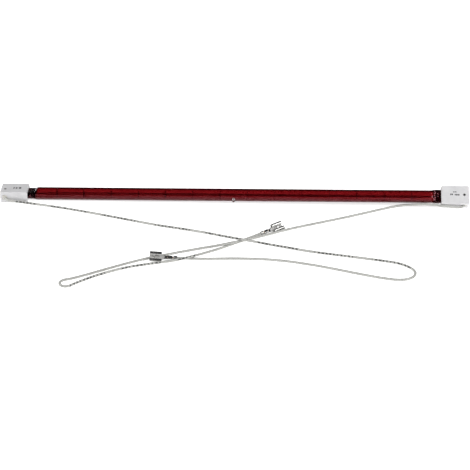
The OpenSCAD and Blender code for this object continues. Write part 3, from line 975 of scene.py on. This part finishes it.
class Recipe:
    """A Geometry Nodes tree with named sizes, which is run once into a plain mesh."""

    def __init__(self, name: str, sizes: dict[str, int | float]) -> None:
        """Creates the tree by its name, with an input for each size."""
        self.sizes = sizes
        self.tree = bpy.data.node_groups.new(name, "GeometryNodeTree")
        self.graph = Graph(self.tree)
        self.sockets = {}
        for label, value in sizes.items():
            kind = "NodeSocketInt" if isinstance(value, int) else "NodeSocketFloat"
            self.sockets[label] = self.tree.interface.new_socket(label, in_out="INPUT", socket_type=kind)
        self.tree.interface.new_socket("Geometry", in_out="OUTPUT", socket_type="NodeSocketGeometry")
        self.start = self.graph.add("NodeGroupInput").outputs

    def wire(self, steps: int, first_r: str, last_r: str, rise: Any, sides: int) -> Socket:
        """Wire swept along a spiral, from the tree's Turns and Wire radius.

        Args:
            steps: Steps in each turn.
            first_r: Input with the radius at the start.
            last_r: Input with the radius at the end.
            rise: Height of the whole spiral.
            sides: Sides of the wire's section.

        Returns:
            The surface of the wire.
        """
        g, size = self.graph, self.start
        path = g.first("GeometryNodeCurveSpiral", {
            "Resolution": steps, "Rotations": size["Turns"], "Start Radius": size[first_r],
            "End Radius": size[last_r], "Height": rise})
        section = {"Resolution": sides, "Radius": size["Wire radius"]}
        ring = g.first("GeometryNodeCurvePrimitiveCircle", section)
        swept = {"Curve": path, "Profile Curve": ring, "Fill Caps": True}
        return g.first("GeometryNodeCurveToMesh", swept)

    def run(self, geometry: Socket, material: Material) -> Mesh:
        """Ends the tree, evaluates it and returns the plain mesh.

        Args:
            geometry: Socket with the last geometry.
            material: Material that the tree sets.

        Returns:
            The mesh.
        """
        g = self.graph
        solid = g.first("GeometryNodeRealizeInstances", {0: geometry})
        smooth = g.first("GeometryNodeSetShadeSmooth", {0: solid})
        dressed = g.first("GeometryNodeSetMaterial", {0: smooth, "Material": material})
        g.add("NodeGroupOutput", {0: dressed})
        holder = linked(self.tree.name, bpy.data.meshes.new(self.tree.name))
        modifier = holder.modifiers.new("recipe", "NODES")
        modifier.node_group = self.tree
        for label, value in self.sizes.items():
            modifier[self.sockets[label].identifier] = value
        seen = holder.evaluated_get(bpy.context.evaluated_depsgraph_get())
        mesh = bpy.data.meshes.new_from_object(seen)
        bpy.data.objects.remove(holder)
        return mesh


@dataclass
class Filament:
    """The long tungsten coil and the fourteen flat spirals that hold it off the glass."""

    finish: Material
    coil_pitch: float = 0.62 * MM
    coil_wire_r: float = 0.13 * MM
    support_wire_r: float = 0.18 * MM
    support_turns: float = 1.75
    support_step: float = math.radians(40)
    support_gap: float = 0.05 * MM

    def build(self) -> list[Piece]:
        """Builds the coil and the supports."""
        supports = [f"support_{i:02d}" for i in range(1, SIZES.support_count + 1)]
        return [
            make_piece("tungsten_coil", self._coil(), self.finish, "tungsten", ["coil_filament"]),
            make_piece("coil_supports", self._supports(), self.finish, "tungsten", supports),
        ]

    def _coil(self) -> Mesh:
        """Fine coil along the lamp's axis."""
        length = 2 * SIZES.coil_half
        recipe = Recipe("coil", {
            "Turns": float(round(length / self.coil_pitch)),
            "Radius": SIZES.coil_r - self.coil_wire_r,
            "Length": length, "Wire radius": self.coil_wire_r,
        })
        coil = recipe.wire(14, "Radius", "Radius", recipe.start["Length"], 6)
        return self._laid_along(recipe.run(coil, self.finish), -length / 2)

    def _supports(self) -> Mesh:
        """Flat spirals along the coil, each turned a little from the one before."""
        s = SIZES
        recipe = Recipe("supports", {
            "Count": s.support_count, "Spacing": s.support_spacing,
            "Inner radius": s.coil_r + self.support_wire_r,
            "Outer radius": s.bore_r - self.support_wire_r - self.support_gap,
            "Turns": self.support_turns, "Wire radius": self.support_wire_r,
            "Turn from one to the next": self.support_step,
        })
        g, size = recipe.graph, recipe.start
        spiral = recipe.wire(32, "Inner radius", "Outer radius", 0.0, 8)
        offset = g.first("ShaderNodeCombineXYZ", {2: size["Spacing"]})
        line = g.first("GeometryNodeMeshLine", {"Count": size["Count"], "Offset": offset})
        angle = g.times(g.first("GeometryNodeInputIndex"), size["Turn from one to the next"])
        turn = g.first("ShaderNodeCombineXYZ", {2: angle})
        spots = {"Points": line, "Instance": spiral, "Rotation": turn}
        placed = g.first("GeometryNodeInstanceOnPoints", spots)
        first = -(s.support_count - 1) / 2 * s.support_spacing
        return self._laid_along(recipe.run(placed, self.finish), first)

    @staticmethod
    def _laid_along(mesh: Mesh, start: float) -> Mesh:
        """Lays an upright mesh along the lamp's axis, from a place on it."""
        upright = Matrix.Rotation(math.pi / 2, 4, "Y")
        mesh.transform(SIZES.at_rest() @ Matrix.Translation((start, 0, 0)) @ upright)
        return mesh


# Printed bars on each wide face: middle along and across the lamp, length and width, in millimetres
MARKS = {
    Side.LEFT: ((176.9, -0.2, 0.9, 2.4), (174.8, -0.3, 1.3, 2.0), (172.0, -0.1, 1.8, 2.4)),
    Side.RIGHT: (
        (175.4, 2.3, 1.0, 0.9), (176.9, 2.3, 1.0, 0.9), (172.9, 0.2, 0.9, 1.3), (174.1, 0.2, 0.9, 1.3),
        (176.4, 0.0, 0.8, 1.3), (177.7, -0.1, 1.1, 1.3), (179.2, -0.1, 1.1, 1.3),
    ),
}


@dataclass
class CapPrint:
    """Plain printed bars on the wide face of one ceramic cap."""

    side: Side
    finish: Material
    thickness: float = 0.02 * MM
    corner: float = 0.12 * MM

    def build(self) -> Piece:
        """Builds the bars as thin rounded plates that lie on the face.

        Returns:
            The finished piece.
        """
        work = bmesh.new()
        top = SIZES.cap_thickness / 2 + self.thickness / 2
        for mark in MARKS[self.side]:
            along, across, length, width = (size * MM for size in mark)
            made = bmesh.ops.create_cube(work, size=1.0)["verts"]
            bmesh.ops.scale(work, verts=made, vec=(length, width, self.thickness))
            bmesh.ops.translate(work, verts=made, vec=(along, across, top))
        upright = [e for e in work.edges if abs((e.verts[0].co - e.verts[1].co).z) > self.thickness / 2]
        bmesh.ops.bevel(work, geom=upright, offset=self.corner, segments=3, affect="EDGES")
        mesh = bpy.data.meshes.new(f"print_{self.side.label}")
        work.to_mesh(mesh)
        work.free()
        mesh.transform(SIZES.at_end(self.side))
        outward(mesh)
        return make_piece(f"printed_bars_{self.side.label}", mesh, self.finish, "ceramic", smooth=False)


@dataclass
class PortFilling:
    """The cement that closes the port of one cap round its lead."""

    side: Side
    finish: Material
    radius: float = 2.07 * MM
    sunk: float = 0.3 * MM
    depth: float = 0.9 * MM
    dish: float = 0.25 * MM
    unevenness: float = 0.05 * MM
    rings: int = 6
    sides: int = 36

    def build(self) -> Piece:
        """Builds the filling as a plug with a slightly hollow, uneven face.

        Returns:
            The finished piece.
        """
        s = SIZES
        face = -s.cap_width / 2 + self.sunk
        levels = [(1.0, face + self.depth)]
        for k in range(self.rings):
            share = 1.0 - k / self.rings
            uneven = self.unevenness * math.sin(5.0 * k)
            levels.append((share, face + self.dish * (1 - share * share) + uneven))
        angles = np.arange(self.sides) / self.sides * math.tau
        x, z = self.radius * np.cos(angles), self.radius * np.sin(angles)
        middle = s.cap_out - s.port_inset
        rings = [np.stack([middle + r * x, np.full_like(x, y), r * z], axis=1) for r, y in levels]
        mesh = lofted(np.array(rings), f"filling_{self.side.label}")
        mesh.transform(s.at_end(self.side))
        outward(mesh)
        return make_piece(f"port_filling_{self.side.label}", mesh, self.finish, "cement")


@dataclass
class Studio:
    """Pale floor, soft lights and the camera of the photograph."""

    floor_finish: Material
    azimuth: float = math.radians(2.1)
    elevation: float = math.radians(30)
    distance: float = 1.1244
    look_at: Point = (0.003, -0.05265, 0.0)
    focal_pixels: float = 1454.0
    frame_pixels: float = 470.0
    clip: tuple[float, float] = (0.01, 50.0)
    floor_size: float = 12.0
    light_place: Point = (2.5, -0.9, 2.1)
    light_size: float = 2.4
    light_power: float = 98.0
    sky: Colour = (0.9, 0.93, 1.0)
    sky_strength: float = 0.06

    def camera(self) -> None:
        """Places the camera."""
        data = bpy.data.cameras.new("camera")
        data.sensor_fit = "HORIZONTAL"
        data.lens = self.focal_pixels / self.frame_pixels * data.sensor_width
        data.clip_start, data.clip_end = self.clip
        camera = linked("camera", data)
        flat, rise = math.cos(self.elevation), math.sin(self.elevation)
        back = Vector((math.sin(self.azimuth) * flat, -math.cos(self.azimuth) * flat, rise))
        camera.location = Vector(self.look_at) + self.distance * back
        camera.rotation_euler = (-back).to_track_quat("-Z", "Y").to_euler()
        bpy.context.scene.camera = camera

    def light(self, side: Side) -> None:
        """Hangs the soft square light of one side, which faces the lamp."""
        data = bpy.data.lights.new(f"{side.label} softbox", "AREA")
        data.shape = "RECTANGLE"
        data.size = data.size_y = self.light_size
        data.energy = self.light_power
        softbox = linked(data.name, data)
        x, y, z = self.light_place
        softbox.location = (side.value * x, y, z)
        aim = Vector(self.look_at) - softbox.location
        softbox.rotation_euler = aim.to_track_quat("-Z", "Y").to_euler()

    def build(self) -> None:
        """Builds the floor, the lights and the world."""
        half = self.floor_size / 2
        mesh = bpy.data.meshes.new("floor")
        corners = [(-half, -half, 0), (half, -half, 0), (half, half, 0), (-half, half, 0)]
        mesh.from_pydata(corners, [], [(0, 1, 2, 3)])
        make_piece("studio_floor", mesh, self.floor_finish, "", smooth=False)
        for side in Side:
            self.light(side)
        world = bpy.data.worlds.new("studio")
        world.use_nodes = True
        shade = world.node_tree.nodes["Background"]
        shade.inputs["Color"].default_value = (*self.sky, 1.0)
        shade.inputs["Strength"].default_value = self.sky_strength
        bpy.context.scene.world = world
        bpy.context.scene.view_settings.view_transform = "Standard"


def main() -> None:
    """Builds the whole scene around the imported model."""
    logging.basicConfig(level=logging.INFO, format="%(name)s %(message)s")
    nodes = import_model()["nodes"]
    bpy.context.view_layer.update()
    finishes = Finishes()
    studio = Studio(finishes.floor)
    studio.camera()
    for side, route in ((Side.LEFT, LEFT_ROUTE), (Side.RIGHT, RIGHT_ROUTE)):
        Lead(side, route, LEAD_LENGTHS[side], finishes.sleeve).build()
    studio.build()
    QuartzTube(finishes.ruby).build()
    Filament(finishes.tungsten).build()
    for side in Side:
        for name, material in (
            ("inner_lead", finishes.tungsten), ("seal_foil", finishes.molybdenum),
            ("outer_pin", finishes.molybdenum), ("ferrule", finishes.nickel),
            ("cap_conductor", finishes.copper), ("cement", finishes.cement),
            ("ceramic_cap", finishes.ceramic), ("crimp_conductor", finishes.copper),
            ("terminal", finishes.tin),
        ):
            dress(nodes[f"{name}_{side.label}"].data, material)
    for side in Side:
        CapPrint(side, finishes.ink).build()
    for side in Side:
        PortFilling(side, finishes.cement).build()


if __name__ == "__main__":
    main()
